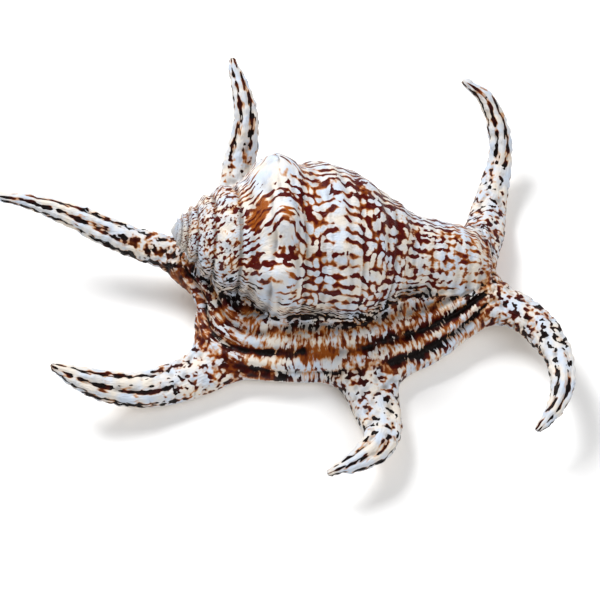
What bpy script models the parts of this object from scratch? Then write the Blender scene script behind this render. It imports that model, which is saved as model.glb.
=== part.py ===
"""Spider conch shell lying on its mouth: one solid with a knobbed body whorl, a stepped spire,
a flared outer lip and six curved fingers. Metres, +Z up, origin under the middle of its box.

The form is written in millimetres in a working frame: the coiling axis runs forwards along +X,
nose down, with the columella on the +Y side and the outer lip on the -Y side."""

import math

import bmesh
import bpy
import numpy as np

MM = 0.001

# Where the working frame's zero lies under the finished box, in millimetres.
FOOTPRINT_CENTRE = (-5.6, -1.8)

# The coiling axis.
APEX = np.array([-40.4, 0.0, 34.2])
AXIS_TILT = math.radians(11.5)
AXIS = np.array([math.cos(AXIS_TILT), 0.0, -math.sin(AXIS_TILT)])
TO_COLUMELLA = np.array([0.0, 1.0, 0.0])
TO_BACK = np.array([math.sin(AXIS_TILT), 0.0, math.cos(AXIS_TILT)])

# Turns about the axis are counted from the columella side, over the back, to the lip.
BACK_TURN = math.radians(115)
LIP_TURN = math.radians(232)
LIP_SWEEP = math.radians(30)
GROWTH_PER_TURN = 1.6
LAST_SUTURE = 20.0
SLANT_FADES = (45.0, 75.0)

# Radius of the whorls against the distance from the apex, measured along the back.
PROFILE = [
    (0.0, 0.3), (2.9, 4.2), (5.9, 7.4), (10.4, 12.2), (15.2, 15.8), (20.0, 17.4), (23.0, 18.8),
    (27.0, 22.0), (29.5, 24.2), (32.5, 25.6), (36.5, 25.0), (42.0, 24.6), (49.0, 25.6),
    (56.0, 25.8), (60.5, 24.2), (65.0, 20.8), (70.5, 17.4), (75.0, 14.2), (80.0, 12.8),
    (86.0, 12.4), (92.0, 11.4), (97.0, 9.2), (101.0, 5.2), (103.0, 0.0),
]

# Knobs: turn in degrees, distance from the apex, height, half length along and across the axis.
KNOBS = [
    (-75, 30.5, 1.2, 4.0, 5.0), (-30, 31.0, 1.8, 4.2, 5.0), (10, 31.0, 2.6, 4.4, 5.5),
    (53, 31.4, 5.2, 5.2, 6.8), (112, 31.2, 3.8, 5.2, 6.8), (145, 29.8, 3.6, 4.8, 5.8),
    (185, 30.5, 2.0, 4.4, 5.0),
    (28, 49.0, 1.4, 4.2, 4.5), (50, 49.0, 1.5, 4.2, 4.5), (72, 49.0, 1.6, 4.2, 4.5),
    (95, 49.0, 1.6, 4.2, 4.5), (121, 49.0, 2.0, 4.6, 4.8), (148, 48.5, 2.0, 4.6, 5.2),
    (60, 62.0, 1.0, 3.0, 4.0), (92, 62.5, 1.0, 3.0, 4.0), (125, 62.5, 1.2, 3.0, 4.2),
]

# Stations of each sweep: x, y, z of its middle, width, thickness, and roll in degrees.
LIP = [
    (-34, -1, 13, 12, 9, 5), (-26, -9, 12, 17, 12, 14), (-20, -18, 10, 26, 15, 22),
    (-9, -23.4, 8.6, 27.5, 17, 25), (6, -24.6, 8, 27, 17, 25), (21, -24, 8, 28, 16.5, 23),
    (34, -20.5, 8, 27.5, 16, 20), (46, -15, 8, 23, 14, 14), (58, -9.5, 9, 15, 11, 6),
]
FINGERS = {
    "posterior": [
        (-14, -2, 14, 12, 12, 0), (-27, 0.5, 14, 12, 12, 0), (-37, 2, 14.5, 12, 11, 0),
        (-45, 4.2, 15.5, 10.5, 10, 0), (-54.7, 7, 17, 9.6, 9, 0), (-64.2, 9.9, 20, 8.8, 8, 0),
        (-76.8, 13.8, 24, 6.6, 6.2, 0), (-86, 15.2, 27, 4.6, 4.3, 0), (-96.5, 15.6, 30, 2.4, 2.4, 0),
    ],
    "spire": [
        (-20, 6, 10, 15, 13, 0), (-18, 21.4, 7, 14.5, 12, 0), (-20.7, 36.5, 4.6, 13, 11, 0),
        (-20.3, 42, 8.4, 11.2, 9.5, 0), (-18.7, 48.1, 14.4, 9.7, 8.5, 0),
        (-18, 53.8, 21, 8, 7, 0), (-19.6, 60.4, 26, 6, 5.5, 0), (-21.6, 65.6, 29.5, 4.2, 3.8, 0),
        (-22.4, 68.4, 31.4, 2.4, 2.4, 0),
    ],
    "canal": [
        (44, -4, 12.5, 18, 16, 0), (54, 3.4, 11.5, 16, 15, 0), (60, 14, 8.2, 13.6, 12, 0),
        (62.9, 26.6, 4.2, 11.8, 11, 0), (65, 34.6, 7, 9.8, 9, 0), (67, 42.5, 10.6, 8.2, 7.6, 0),
        (67, 47.7, 15, 7.4, 6.8, 0), (64.8, 54, 20.5, 6, 5.6, 0), (61.2, 58.4, 25, 4.5, 4.2, 0),
        (54.8, 61.8, 28.6, 2.4, 2.4, 0),
    ],
    "anterior": [
        (46, -9, 10, 14, 12, 0), (56, -11, 10, 13, 11, 0), (64, -12.5, 10, 12.2, 10.5, 0),
        (71.5, -17.4, 11, 11.4, 10, 0), (77.9, -26.5, 13, 10, 9, 0), (80.7, -36.1, 15, 8.4, 7.6, 0),
        (80.7, -44.6, 16, 7.4, 6.6, 0), (78, -52.5, 16, 5.2, 4.8, 0), (72.6, -59, 15, 2.4, 2.4, 0),
    ],
    "middle": [
        (20, -20, 6.5, 22, 12, 0), (21.4, -30, 5.6, 21, 12, 0), (22, -38.8, 5.0, 17.6, 11.5, 0),
        (23.8, -46.9, 5.0, 15.2, 11.3, 0), (25.4, -55.6, 7.4, 12, 9.5, 0), (23.2, -62.8, 10, 9.8, 8, 0),
        (18.2, -67.3, 11, 6.9, 6.2, 0), (9.4, -72, 12, 2.4, 2.4, 0),
    ],
    "lateral": [
        (-10, -20, 7, 23, 12, 0), (-21.6, -26, 6, 22, 12, 0), (-29.8, -33.5, 5.0, 16, 11.6, 0),
        (-39.1, -38.4, 5.0, 13, 11.3, 0), (-48.3, -41.7, 7, 11.5, 10, 0), (-57.4, -42.6, 10, 9.9, 8.8, 0),
        (-65.5, -42.2, 14, 7.8, 7, 0), (-72, -40.7, 17, 4.8, 4.4, 0), (-75.6, -39.6, 18.7, 2.4, 2.4, 0),
    ],
}
MOUTH = [
    (-27, -4, 1, 3.5, 9, 0), (-18, -8.5, 0, 7, 20, 4), (-5, -12, 0, 11, 30, 8),
    (12, -13.5, 0, 12, 32, 10), (28, -12.5, 0, 11, 28, 8), (42, -8, 0, 8, 20, 4),
    (54, -3, 0, 6, 13, 0), (60, 8, 1, 4.5, 9, 0), (63.2, 20, 3, 3.5, 6, 0),
]

# How softly neighbouring forms run into each other.
LIP_FILLET = 3.0
FINGER_FILLET = 7.0
MOUTH_ROUND = 2.2
TABLE_ROUND = 1.2

# Relief: spiral cords of the whorls, growth folds of the lip and ribs of the fingers.
CORD_PITCH = 4.2
CORD_HEIGHT = 0.32
FOLD_HEIGHT = 1.1
RIB_HEIGHT = 0.45
RIBS_ROUND = 8

VOXEL = 1.15
FACES = 9000
SETTLE_PASSES = 4


def smoothstep(low, high, value):
    share = np.clip((value - low) / (high - low), 0.0, 1.0)
    return share * share * (3.0 - 2.0 * share)


def soft_min(a, b, reach):
    """The lower of two distances, filleted where they are within reach of each other."""
    near = np.maximum(reach - np.abs(a - b), 0.0) / reach
    return np.minimum(a, b) - near * near * reach / 4.0


def soft_max(a, b, reach):
    return -soft_min(-a, -b, reach)


def smooth_path(stations, step):
    """The stations joined by a smooth curve and read off every step millimetres."""
    knots = np.array(stations, float)
    along = np.concatenate([[0.0], np.cumsum(np.linalg.norm(np.diff(knots[:, :3], axis=0), axis=1))])
    slopes = np.gradient(knots, along, axis=0)
    read = np.linspace(0.0, along[-1], int(along[-1] / step) + 2)
    at = np.clip(np.searchsorted(along, read, side="right") - 1, 0, len(along) - 2)
    gap = (along[at + 1] - along[at])[:, None]
    t = ((read - along[at]) / gap[:, 0])[:, None]
    return (
        (2 * t**3 - 3 * t**2 + 1) * knots[at]
        + (t**3 - 2 * t**2 + t) * gap * slopes[at]
        + (-2 * t**3 + 3 * t**2) * knots[at + 1]
        + (t**3 - t**2) * gap * slopes[at + 1]
    )


class Sweep:
    """An oval section carried along a curve. It makes its own surface and measures distances to it."""

    def __init__(self, stations, step=1.0):
        rows = smooth_path(stations, step)
        self.middle = rows[:, :3]
        self.half = np.maximum(rows[:, 3:5] / 2.0, 0.6)
        roll = np.radians(rows[:, 5])[:, None]
        forward = np.gradient(self.middle, axis=0)
        self.forward = forward / np.linalg.norm(forward, axis=1)[:, None]
        side = np.cross([0.0, 0.0, 1.0], self.forward)
        side /= np.linalg.norm(side, axis=1)[:, None]
        up = np.cross(self.forward, side)
        self.side = side * np.cos(roll) + up * np.sin(roll)
        self.up = up * np.cos(roll) - side * np.sin(roll)
        run = np.linalg.norm(np.diff(self.middle, axis=0), axis=1)
        self.along = np.concatenate([[0.0], np.cumsum(run)])

    def point(self, share, turn):
        """The point of the surface at a share of the length and an angle round it."""
        where = share * (len(self.middle) - 1)
        low = min(int(where), len(self.middle) - 2)
        part = where - low
        rows = [r[low] * (1 - part) + r[low + 1] * part for r in (self.middle, self.side, self.up, self.half)]
        middle, side, up, half = rows
        end = math.sqrt(max(0.0, 1.0 - (2.0 * share - 1.0) ** 16))
        return middle + side * half[0] * end * math.cos(turn) + up * half[1] * end * math.sin(turn)

    def local(self, points):
        """For each point: its place along the curve, across it and above it, and the oval's size there."""
        nearest = np.empty(len(points), int)
        for start in range(0, len(points), 20000):
            block = points[start : start + 20000]
            gaps = ((block[:, None, :] - self.middle[None, :, :]) ** 2).sum(2)
            nearest[start : start + 20000] = gaps.argmin(1)
        away = points - self.middle[nearest]
        ahead = (away * self.forward[nearest]).sum(1)
        place = np.clip(self.along[nearest] + ahead, 0.0, self.along[-1])
        past = self.along[nearest] + ahead - place

        def read(rows):
            return np.stack([np.interp(place, self.along, rows[:, k]) for k in range(rows.shape[1])], 1)

        away = points - read(self.middle)
        across = (away * read(self.side)).sum(1)
        above = (away * read(self.up)).sum(1)
        return place, past, across, above, read(self.half)

    def distance(self, points):
        _, past, across, above, half = self.local(points)
        cap = np.minimum(half[:, 0], half[:, 1])
        oval = np.sqrt((across / half[:, 0]) ** 2 + (above / half[:, 1]) ** 2 + (past / cap) ** 2) + 1e-6
        slope = np.sqrt(
            (across / half[:, 0] ** 2) ** 2 + (above / half[:, 1] ** 2) ** 2 + (past / cap**2) ** 2
        )
        return oval * (oval - 1.0) / np.maximum(slope, 1e-6)


def axis_place(points):
    """Distance from the apex along the axis, distance out from it, and turn about it."""
    away = points - APEX
    along = away @ AXIS
    a, b = away @ TO_COLUMELLA, away @ TO_BACK
    turn = np.arctan2(b, a)
    end = LIP_TURN + LIP_SWEEP
    turn = np.where(turn > end, turn - 2 * math.pi, turn)
    turn = np.where(turn <= end - 2 * math.pi, turn + 2 * math.pi, turn)
    return along, np.hypot(a, b), turn


def growth(along, turn):
    """How much larger the spiral is at this turn than it was on the back."""
    whole = GROWTH_PER_TURN ** ((turn - BACK_TURN) / (2 * math.pi))
    return 1.0 + (whole - 1.0) * (1.0 - smoothstep(*SLANT_FADES, along))


def turn_radius(along, turn):
    """Radius of one turn of the coil: the profile, its stepped sutures and its knobs."""
    grown = growth(along, turn)
    back = along / grown
    distances, radii = np.array(PROFILE).T
    on_spire = 1.0 - smoothstep(0.8 * LAST_SUTURE, 1.5 * LAST_SUTURE, back)
    radius = np.interp(back, distances, radii) * grown**on_spire
    whorl = np.log(np.maximum(back, 0.2) / LAST_SUTURE) / math.log(GROWTH_PER_TURN)
    share = whorl - np.floor(whorl)
    seam = np.exp(-((np.minimum(share, 1.0 - share) / 0.09) ** 2))
    step = 0.075 * np.sin(math.pi * share**0.7) - 0.055 * seam
    beads = 0.03 * np.sin(turn * 15.0) * np.exp(-(((share - 0.55) / 0.25) ** 2))
    stepped = 1.0 - smoothstep(LAST_SUTURE - 1.0, LAST_SUTURE + 1.5, back)
    radius = radius * (1.0 + (step + beads) * stepped)
    radius -= 0.9 * np.exp(-(((back - LAST_SUTURE) / 0.9) ** 2)) * (1.0 - stepped)
    radius *= 1.0 - 0.12 * smoothstep(math.radians(150), math.radians(200), turn)
    for degrees, distance, height, half_along, half_across in KNOBS:
        across = (turn - math.radians(degrees)) * np.maximum(radius, 1.0)
        knob = ((back - distance) / half_along) ** 2 + (across / half_across) ** 2
        radius = radius + height * np.exp(-knob)
    return radius


def whorl_radius(along, turn):
    """Radius of the coil. Past the lip it sinks onto the turn before."""
    past_lip = smoothstep(LIP_TURN, LIP_TURN + LIP_SWEEP, turn)
    here = turn_radius(along, turn)
    return here + (turn_radius(along, turn - 2 * math.pi) - here) * past_lip


def whorl_distance(points):
    along, out, turn = axis_place(points)
    small = 0.05
    radius = whorl_radius(along, turn)
    lengthwise = (whorl_radius(along + small, turn) - radius) / small
    roundwise = (whorl_radius(along, turn + small / 10) - radius) / (small / 10) / np.maximum(out, 2.0)
    steep = np.sqrt(1.0 + lengthwise**2 + roundwise**2)
    past_ends = np.maximum(-along, along - PROFILE[-1][0])
    return np.maximum((out - radius) / steep, past_ends)


def shell_distance(points, sweeps):
    """Distance from the shell's plain form, negative inside."""
    distance = soft_min(whorl_distance(points), sweeps["lip"].distance(points), LIP_FILLET)
    for name in FINGERS:
        distance = soft_min(distance, sweeps[name].distance(points), FINGER_FILLET)
    distance = soft_max(distance, -sweeps["mouth"].distance(points), MOUTH_ROUND)
    return soft_max(distance, -points[:, 2], TABLE_ROUND)


def closed_surface(name, rings, around, place):
    """A closed skin: a grid wrapped round an axis, its ends drawn together to points."""
    mesh = bmesh.new()
    bmesh.ops.create_grid(mesh, x_segments=rings, y_segments=around, size=0.5)
    for vertex in mesh.verts:
        share, round_share = vertex.co.x + 0.5, vertex.co.y + 0.5
        vertex.co = place(share, 2.0 * math.pi * round_share)
    bmesh.ops.remove_doubles(mesh, verts=mesh.verts, dist=1e-3)
    bmesh.ops.recalc_face_normals(mesh, faces=mesh.faces)
    data = bpy.data.meshes.new(name)
    mesh.to_mesh(data)
    mesh.free()
    made = bpy.data.objects.new(name, data)
    bpy.context.scene.collection.objects.link(made)
    return made


def whorl_point(share, turn):
    along = share * PROFILE[-1][0]
    signed = turn if turn <= LIP_TURN + LIP_SWEEP else turn - 2 * math.pi
    radius = float(whorl_radius(np.array([along]), np.array([signed]))[0])
    end = 0.0 if share in (0.0, 1.0) else 1.0
    out = radius * end
    return APEX + AXIS * along + out * (TO_COLUMELLA * math.cos(turn) + TO_BACK * math.sin(turn))


def raw_shell(sweeps):
    """The separate forms in one object, fused into one skin by a voxel remesh, with the mouth cut."""
    forms = [closed_surface("whorls", 90, 96, whorl_point)]
    for name in ["lip", *FINGERS]:
        forms.append(closed_surface(name, 60, 32, sweeps[name].point))
    joined = bmesh.new()
    for form in forms:
        joined.from_mesh(form.data)
        bpy.data.objects.remove(form)
    data = bpy.data.meshes.new("conch_shell")
    joined.to_mesh(data)
    joined.free()
    shell = bpy.data.objects.new("conch_shell", data)
    bpy.context.scene.collection.objects.link(shell)
    cutter = closed_surface("mouth_cutter", 60, 24, sweeps["mouth"].point)
    cutter.hide_render = True
    cutter.display_type = "WIRE"
    fuse = shell.modifiers.new("fuse", "REMESH")
    fuse.mode = "VOXEL"
    fuse.voxel_size = VOXEL
    cut = shell.modifiers.new("mouth", "BOOLEAN")
    cut.operation = "DIFFERENCE"
    cut.solver = "EXACT"
    cut.object = cutter
    again = shell.modifiers.new("even", "REMESH")
    again.mode = "VOXEL"
    again.voxel_size = VOXEL
    graph = bpy.context.evaluated_depsgraph_get()
    skin = bpy.data.meshes.new_from_object(shell.evaluated_get(graph))
    shell.modifiers.clear()
    shell.data = skin
    bpy.data.objects.remove(cutter)
    return shell


def read_points(data):
    flat = np.empty(len(data.vertices) * 3)
    data.vertices.foreach_get("co", flat)
    return flat.reshape(-1, 3)


def read_normals(data):
    flat = np.empty(len(data.vertices) * 3)
    data.vertices.foreach_get("normal", flat)
    return flat.reshape(-1, 3)


def write_points(data, points):
    data.vertices.foreach_set("co", points.ravel())
    data.update()


def even_out(data, points, share):
    """Each point moved a share of the way to the middle of its neighbours."""
    ends = np.empty(len(data.edges) * 2, int)
    data.edges.foreach_get("vertices", ends)
    ends = ends.reshape(-1, 2)
    total = np.zeros_like(points)
    count = np.zeros(len(points))
    for here, there in ((0, 1), (1, 0)):
        np.add.at(total, ends[:, here], points[ends[:, there]])
        np.add.at(count, ends[:, here], 1.0)
    return points + (total / count[:, None] - points) * share


def relief(points, sweeps):
    """Height of the cords, growth folds and ribs over the plain form, by what each point lies on."""
    along, _, turn = axis_place(points)
    back = along / growth(along, turn)
    on_whorl = np.abs(whorl_distance(points))
    on_lip = np.abs(sweeps["lip"].distance(points))
    on_finger = {name: np.abs(sweeps[name].distance(points)) for name in FINGERS}
    nearest_finger = np.min(list(on_finger.values()), axis=0)
    topside = smoothstep(3.0, 9.0, points[:, 2])

    whorl_share = smoothstep(2.0, 0.5, on_whorl) * smoothstep(LAST_SUTURE, LAST_SUTURE + 4, back)
    cords = np.cos(2 * math.pi * back / CORD_PITCH) * CORD_HEIGHT
    height = cords * whorl_share * smoothstep(1.5, 4.0, np.minimum(on_lip, nearest_finger))

    _, _, across, _, half = sweeps["lip"].local(points)
    fold = np.cos(2 * math.pi * (-across / half[:, 0] - 0.52) / 0.62)
    lip_share = smoothstep(2.0, 0.5, on_lip) * smoothstep(1.5, 4.0, nearest_finger)
    inside_edge = smoothstep(0.98, 0.8, np.abs(across) / half[:, 0])
    height = height + FOLD_HEIGHT * fold * lip_share * inside_edge

    for name, distance in on_finger.items():
        place, _, across, above, half = sweeps[name].local(points)
        angle = np.arctan2(above / half[:, 1], across / half[:, 0])
        free = smoothstep(0.30, 0.5, place / sweeps[name].along[-1])
        rib = np.cos(angle * RIBS_ROUND) * RIB_HEIGHT * np.minimum(half[:, 0] / 4.0, 1.0)
        height = height + rib * free * smoothstep(2.0, 0.5, distance)
    return height * topside


def settle(shell, sweeps):
    """Moves the skin onto the filleted form, then raises the relief and levels what rests on the table."""
    data = shell.data
    points = read_points(data)
    for _ in range(SETTLE_PASSES):
        points = even_out(data, points, 0.35)
        write_points(data, points)
        points = points - read_normals(data) * np.clip(shell_distance(points, sweeps), -1.5, 1.5)[:, None]
    write_points(data, points)
    points = points + read_normals(data) * relief(points, sweeps)[:, None]
    points[:, 2] = np.maximum(points[:, 2], 0.0)
    write_points(data, points)


def thin_out(shell):
    """Joins faces until the solid has about FACES triangles, with what rests kept level."""
    bpy.context.view_layer.update()
    triangles = sum(len(face.vertices) - 2 for face in shell.data.polygons)
    join = shell.modifiers.new("fewer_faces", "DECIMATE")
    join.ratio = FACES / triangles
    join.use_collapse_triangulate = True
    graph = bpy.context.evaluated_depsgraph_get()
    thin = bpy.data.meshes.new_from_object(shell.evaluated_get(graph))
    shell.modifiers.clear()
    shell.data = thin
    points = read_points(thin)
    points[:, 2] = np.where(points[:, 2] < 0.06, 0.0, points[:, 2])
    points[:, :2] -= FOOTPRINT_CENTRE
    write_points(thin, points * MM)


def shell_material():
    material = bpy.data.materials.new("speckled_shell")
    material.use_nodes = True
    surface = material.node_tree.nodes["Principled BSDF"]
    surface.inputs["Base Color"].default_value = (0.62, 0.52, 0.46, 1.0)
    surface.inputs["Roughness"].default_value = 0.42
    surface.inputs["Metallic"].default_value = 0.0
    return material


def main():
    for old in list(bpy.data.objects):
        bpy.data.objects.remove(old)
    sweeps = {name: Sweep(stations) for name, stations in FINGERS.items()}
    sweeps["lip"] = Sweep(LIP)
    sweeps["mouth"] = Sweep(MOUTH)
    shell = raw_shell(sweeps)
    settle(shell, sweeps)
    thin_out(shell)
    shell.data.materials.append(shell_material())


main()
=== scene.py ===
"""How the spider conch shell looks: its fine relief, its brown markings, the table and the light.

The form is the one its solid has, in millimetres in a working frame: the coiling axis runs forwards
along +X, nose down, with the columella on the +Y side and the outer lip on the -Y side."""

import math

import bmesh
import bpy
import numpy as np
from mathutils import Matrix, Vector, noise


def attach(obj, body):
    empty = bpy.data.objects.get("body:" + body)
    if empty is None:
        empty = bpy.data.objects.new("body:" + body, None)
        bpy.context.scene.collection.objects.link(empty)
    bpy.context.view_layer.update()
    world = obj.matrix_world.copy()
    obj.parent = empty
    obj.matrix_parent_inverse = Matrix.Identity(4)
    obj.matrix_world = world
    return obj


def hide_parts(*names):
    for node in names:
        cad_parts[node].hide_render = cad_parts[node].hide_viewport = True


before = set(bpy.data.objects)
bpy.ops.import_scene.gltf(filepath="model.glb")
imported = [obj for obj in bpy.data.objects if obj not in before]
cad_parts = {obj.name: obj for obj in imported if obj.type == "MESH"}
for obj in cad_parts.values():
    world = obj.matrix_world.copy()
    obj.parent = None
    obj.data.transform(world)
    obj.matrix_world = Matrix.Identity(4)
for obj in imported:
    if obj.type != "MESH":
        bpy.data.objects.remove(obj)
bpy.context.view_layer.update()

MM = 0.001

# Where the working frame's zero lies under the finished box, in millimetres.
FOOTPRINT_CENTRE = np.array([-5.6, -1.8, 0.0])

# The coiling axis.
APEX = np.array([-40.4, 0.0, 34.2])
AXIS_TILT = math.radians(11.5)
AXIS = np.array([math.cos(AXIS_TILT), 0.0, -math.sin(AXIS_TILT)])
TO_COLUMELLA = np.array([0.0, 1.0, 0.0])
TO_BACK = np.array([math.sin(AXIS_TILT), 0.0, math.cos(AXIS_TILT)])

# Turns about the axis are counted from the columella side, over the back, to the lip.
BACK_TURN = math.radians(115)
LIP_TURN = math.radians(232)
LIP_SWEEP = math.radians(30)
# The coil's growth, and distances from its apex: the last suture, the shoulder, and where the slant fades.
GROWTH_PER_TURN = 1.6
LAST_SUTURE = 20.0
SHOULDER = 31.0
SLANT_FADES = (45.0, 75.0)

# Radius of the whorls against the distance from the apex, measured along the back.
PROFILE = [
    (0.0, 0.3), (2.9, 4.2), (5.9, 7.4), (10.4, 12.2), (15.2, 15.8), (20.0, 17.4), (23.0, 18.8),
    (27.0, 22.0), (29.5, 24.2), (32.5, 25.6), (36.5, 25.0), (42.0, 24.6), (49.0, 25.6),
    (56.0, 25.8), (60.5, 24.2), (65.0, 20.8), (70.5, 17.4), (75.0, 14.2), (80.0, 12.8),
    (86.0, 12.4), (92.0, 11.4), (97.0, 9.2), (101.0, 5.2), (103.0, 0.0),
]

# Knobs: turn in degrees, distance from the apex, height, half length along and across the axis.
KNOBS = [
    (-75, 30.5, 1.2, 4.0, 5.0), (-30, 31.0, 1.8, 4.2, 5.0), (10, 31.0, 2.6, 4.4, 5.5),
    (53, 31.4, 5.2, 5.2, 6.8), (112, 31.2, 3.8, 5.2, 6.8), (145, 29.8, 3.6, 4.8, 5.8),
    (185, 30.5, 2.0, 4.4, 5.0),
    (28, 49.0, 1.4, 4.2, 4.5), (50, 49.0, 1.5, 4.2, 4.5), (72, 49.0, 1.6, 4.2, 4.5),
    (95, 49.0, 1.6, 4.2, 4.5), (121, 49.0, 2.0, 4.6, 4.8), (148, 48.5, 2.0, 4.6, 5.2),
    (60, 62.0, 1.0, 3.0, 4.0), (92, 62.5, 1.0, 3.0, 4.0), (125, 62.5, 1.2, 3.0, 4.2),
]

# Steps of the spire, as shares of its radius: each whorl's swell, the seam between two, and the beads.
WHORL_SWELL = 0.055
WHORL_SEAM = 0.035
WHORL_BEADS = 0.03
BEADS_PER_RADIAN = 15.0
# Where on a whorl the beads and the keel lie, and how wide they and the seam are, in shares of the whorl.
BEAD_ROW = (0.55, 0.25)
KEEL_ROW = (0.6, 0.14)
SEAM_SHARE = 0.09
SEAM_LINE_SHARE = 0.08
# The groove at the last suture, and how much the coil draws in on its low side.
SUTURE_DEPTH = 0.9
SUTURE_WIDTH = 0.9
LOW_SIDE_SHRINK = 0.12
LOW_SIDE_TURNS = (math.radians(150), math.radians(200))

# Stations of each sweep: x, y, z of its middle, width, thickness, and roll in degrees.
LIP = [
    (-34, -1, 13, 12, 9, 5), (-26, -9, 12, 17, 12, 14), (-20, -18, 10, 26, 15, 22),
    (-9, -23.4, 8.6, 27.5, 17, 25), (6, -24.6, 8, 27, 17, 25), (21, -24, 8, 28, 16.5, 23),
    (34, -20.5, 8, 27.5, 16, 20), (46, -15, 8, 23, 14, 14), (58, -9.5, 9, 15, 11, 6),
]
FINGERS = {
    "posterior": [
        (-14, -2, 14, 12, 12, 0), (-27, 0.5, 14, 12, 12, 0), (-37, 2, 14.5, 12, 11, 0),
        (-45, 4.2, 15.5, 10.5, 10, 0), (-54.7, 7, 17, 9.6, 9, 0), (-64.2, 9.9, 20, 8.8, 8, 0),
        (-76.8, 13.8, 24, 6.6, 6.2, 0), (-86, 15.2, 27, 4.6, 4.3, 0), (-96.5, 15.6, 30, 2.4, 2.4, 0),
    ],
    "spire": [
        (-20, 6, 10, 15, 13, 0), (-18, 21.4, 7, 14.5, 12, 0), (-20.7, 36.5, 4.6, 13, 11, 0),
        (-20.3, 42, 8.4, 11.2, 9.5, 0), (-18.7, 48.1, 14.4, 9.7, 8.5, 0),
        (-18, 53.8, 21, 8, 7, 0), (-19.6, 60.4, 26, 6, 5.5, 0), (-21.6, 65.6, 29.5, 4.2, 3.8, 0),
        (-22.4, 68.4, 31.4, 2.4, 2.4, 0),
    ],
    "canal": [
        (44, -4, 12.5, 18, 16, 0), (54, 3.4, 11.5, 16, 15, 0), (60, 14, 8.2, 13.6, 12, 0),
        (62.9, 26.6, 4.2, 11.8, 11, 0), (65, 34.6, 7, 9.8, 9, 0), (67, 42.5, 10.6, 8.2, 7.6, 0),
        (67, 47.7, 15, 7.4, 6.8, 0), (64.8, 54, 20.5, 6, 5.6, 0), (61.2, 58.4, 25, 4.5, 4.2, 0),
        (54.8, 61.8, 28.6, 2.4, 2.4, 0),
    ],
    "anterior": [
        (46, -9, 10, 14, 12, 0), (56, -11, 10, 13, 11, 0), (64, -12.5, 10, 12.2, 10.5, 0),
        (71.5, -17.4, 11, 11.4, 10, 0), (77.9, -26.5, 13, 10, 9, 0), (80.7, -36.1, 15, 8.4, 7.6, 0),
        (80.7, -44.6, 16, 7.4, 6.6, 0), (78, -52.5, 16, 5.2, 4.8, 0), (72.6, -59, 15, 2.4, 2.4, 0),
    ],
    "middle": [
        (20, -20, 6.5, 22, 12, 0), (21.4, -30, 5.6, 21, 12, 0), (22, -38.8, 5.0, 17.6, 11.5, 0),
        (23.8, -46.9, 5.0, 15.2, 11.3, 0), (25.4, -55.6, 7.4, 12, 9.5, 0), (23.2, -62.8, 10, 9.8, 8, 0),
        (18.2, -67.3, 11, 6.9, 6.2, 0), (9.4, -72, 12, 2.4, 2.4, 0),
    ],
    "lateral": [
        (-10, -20, 7, 23, 12, 0), (-21.6, -26, 6, 22, 12, 0), (-29.8, -33.5, 5.0, 16, 11.6, 0),
        (-39.1, -38.4, 5.0, 13, 11.3, 0), (-48.3, -41.7, 7, 11.5, 10, 0), (-57.4, -42.6, 10, 9.9, 8.8, 0),
        (-65.5, -42.2, 14, 7.8, 7, 0), (-72, -40.7, 17, 4.8, 4.4, 0), (-75.6, -39.6, 18.7, 2.4, 2.4, 0),
    ],
}
MOUTH = [
    (-27, -4, 1, 3.5, 9, 0), (-18, -8.5, 0, 7, 20, 4), (-5, -12, 0, 11, 30, 8),
    (12, -13.5, 0, 12, 32, 10), (28, -12.5, 0, 11, 28, 8), (42, -8, 0, 8, 20, 4),
    (54, -3, 0, 6, 13, 0), (60, 8, 1, 4.5, 9, 0), (63.2, 20, 3, 3.5, 6, 0),
]

# How softly neighbouring forms run into each other.
LIP_FILLET = 6.0
FINGER_FILLET = 7.0
MOUTH_ROUND = 2.2
TABLE_ROUND = 1.2

# Relief of the body: spiral cords, a keel by its distance from the apex, half width and height, and
# grooves by their distance from the apex and depth. The keel and the grooves begin at these turns.
CORD_PITCH = 4.2
CORD_HEIGHT = 0.15
KEEL = (26.6, 1.2, 0.8)
GROOVES = [(28.7, 0.6), (38.6, 0.5), (46.4, 0.4), (56.2, 0.3), (68.6, 0.5), (75.5, 0.3)]
GROOVE_WIDTH = 0.9
KEEL_BEGINS = (math.radians(72), math.radians(90))
# Crests and dips on the knobs: turn in degrees, distance from the apex, height, half sizes.
CRESTS = [
    (103, 32.4, 1.5, 4.4, 4.8), (145, 31.6, 1.6, 4.4, 4.8), (123, 31.5, -0.7, 4.0, 3.6),
    (53, 31.4, -2.6, 3.7, 5.0), (64, 37.0, 1.5, 5.0, 7.5),
]
CREST_GIRTH = 26.0
# Relief of the spire: a keel along each whorl, higher near the tip, and the seam between two.
SPIRE_KEEL = 0.15
TIP_KEEL = 0.7
TIP_FADES = (12.0, 6.0)
SPIRE_SEAM = 0.15
# Relief of the lip, the fingers and all over.
FOLD_HEIGHT = 1.0
FOLD_ENDS = (0.98, 0.8)
RIM_FADES = (0.7, 1.0)
RIM_RAGGED = 0.55
RIM_LUMP_SIZE = 1.7
LUMP_SIZE = 2.4
LUMP_HEIGHT = 0.3
RIB_HEIGHT = 0.42
RIBS_ROUND = 6
RIBBED_HALF = 4.0
NOTCH_PITCH = 3.4
NOTCH_DEPTH = 0.5
NOTCH_DRIFT = 1.6
NOTCH_SIDES = (0.7, 1.0)
CRUMPLE_SIZE = 5.0
CRUMPLE_HEIGHT = 0.35
# Ridges that run into the mouth from the lip's side.
LIRA_PITCH = 3.0
LIRA_HEIGHT = 0.35
LIRA_FADES = (1.0, -2.0)
# Each kind of unevenness reads its own part of the noise.
RIM_SEED = 8.0
LUMP_SEED = 5.0
CRUMPLE_SEED = 3.0

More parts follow.
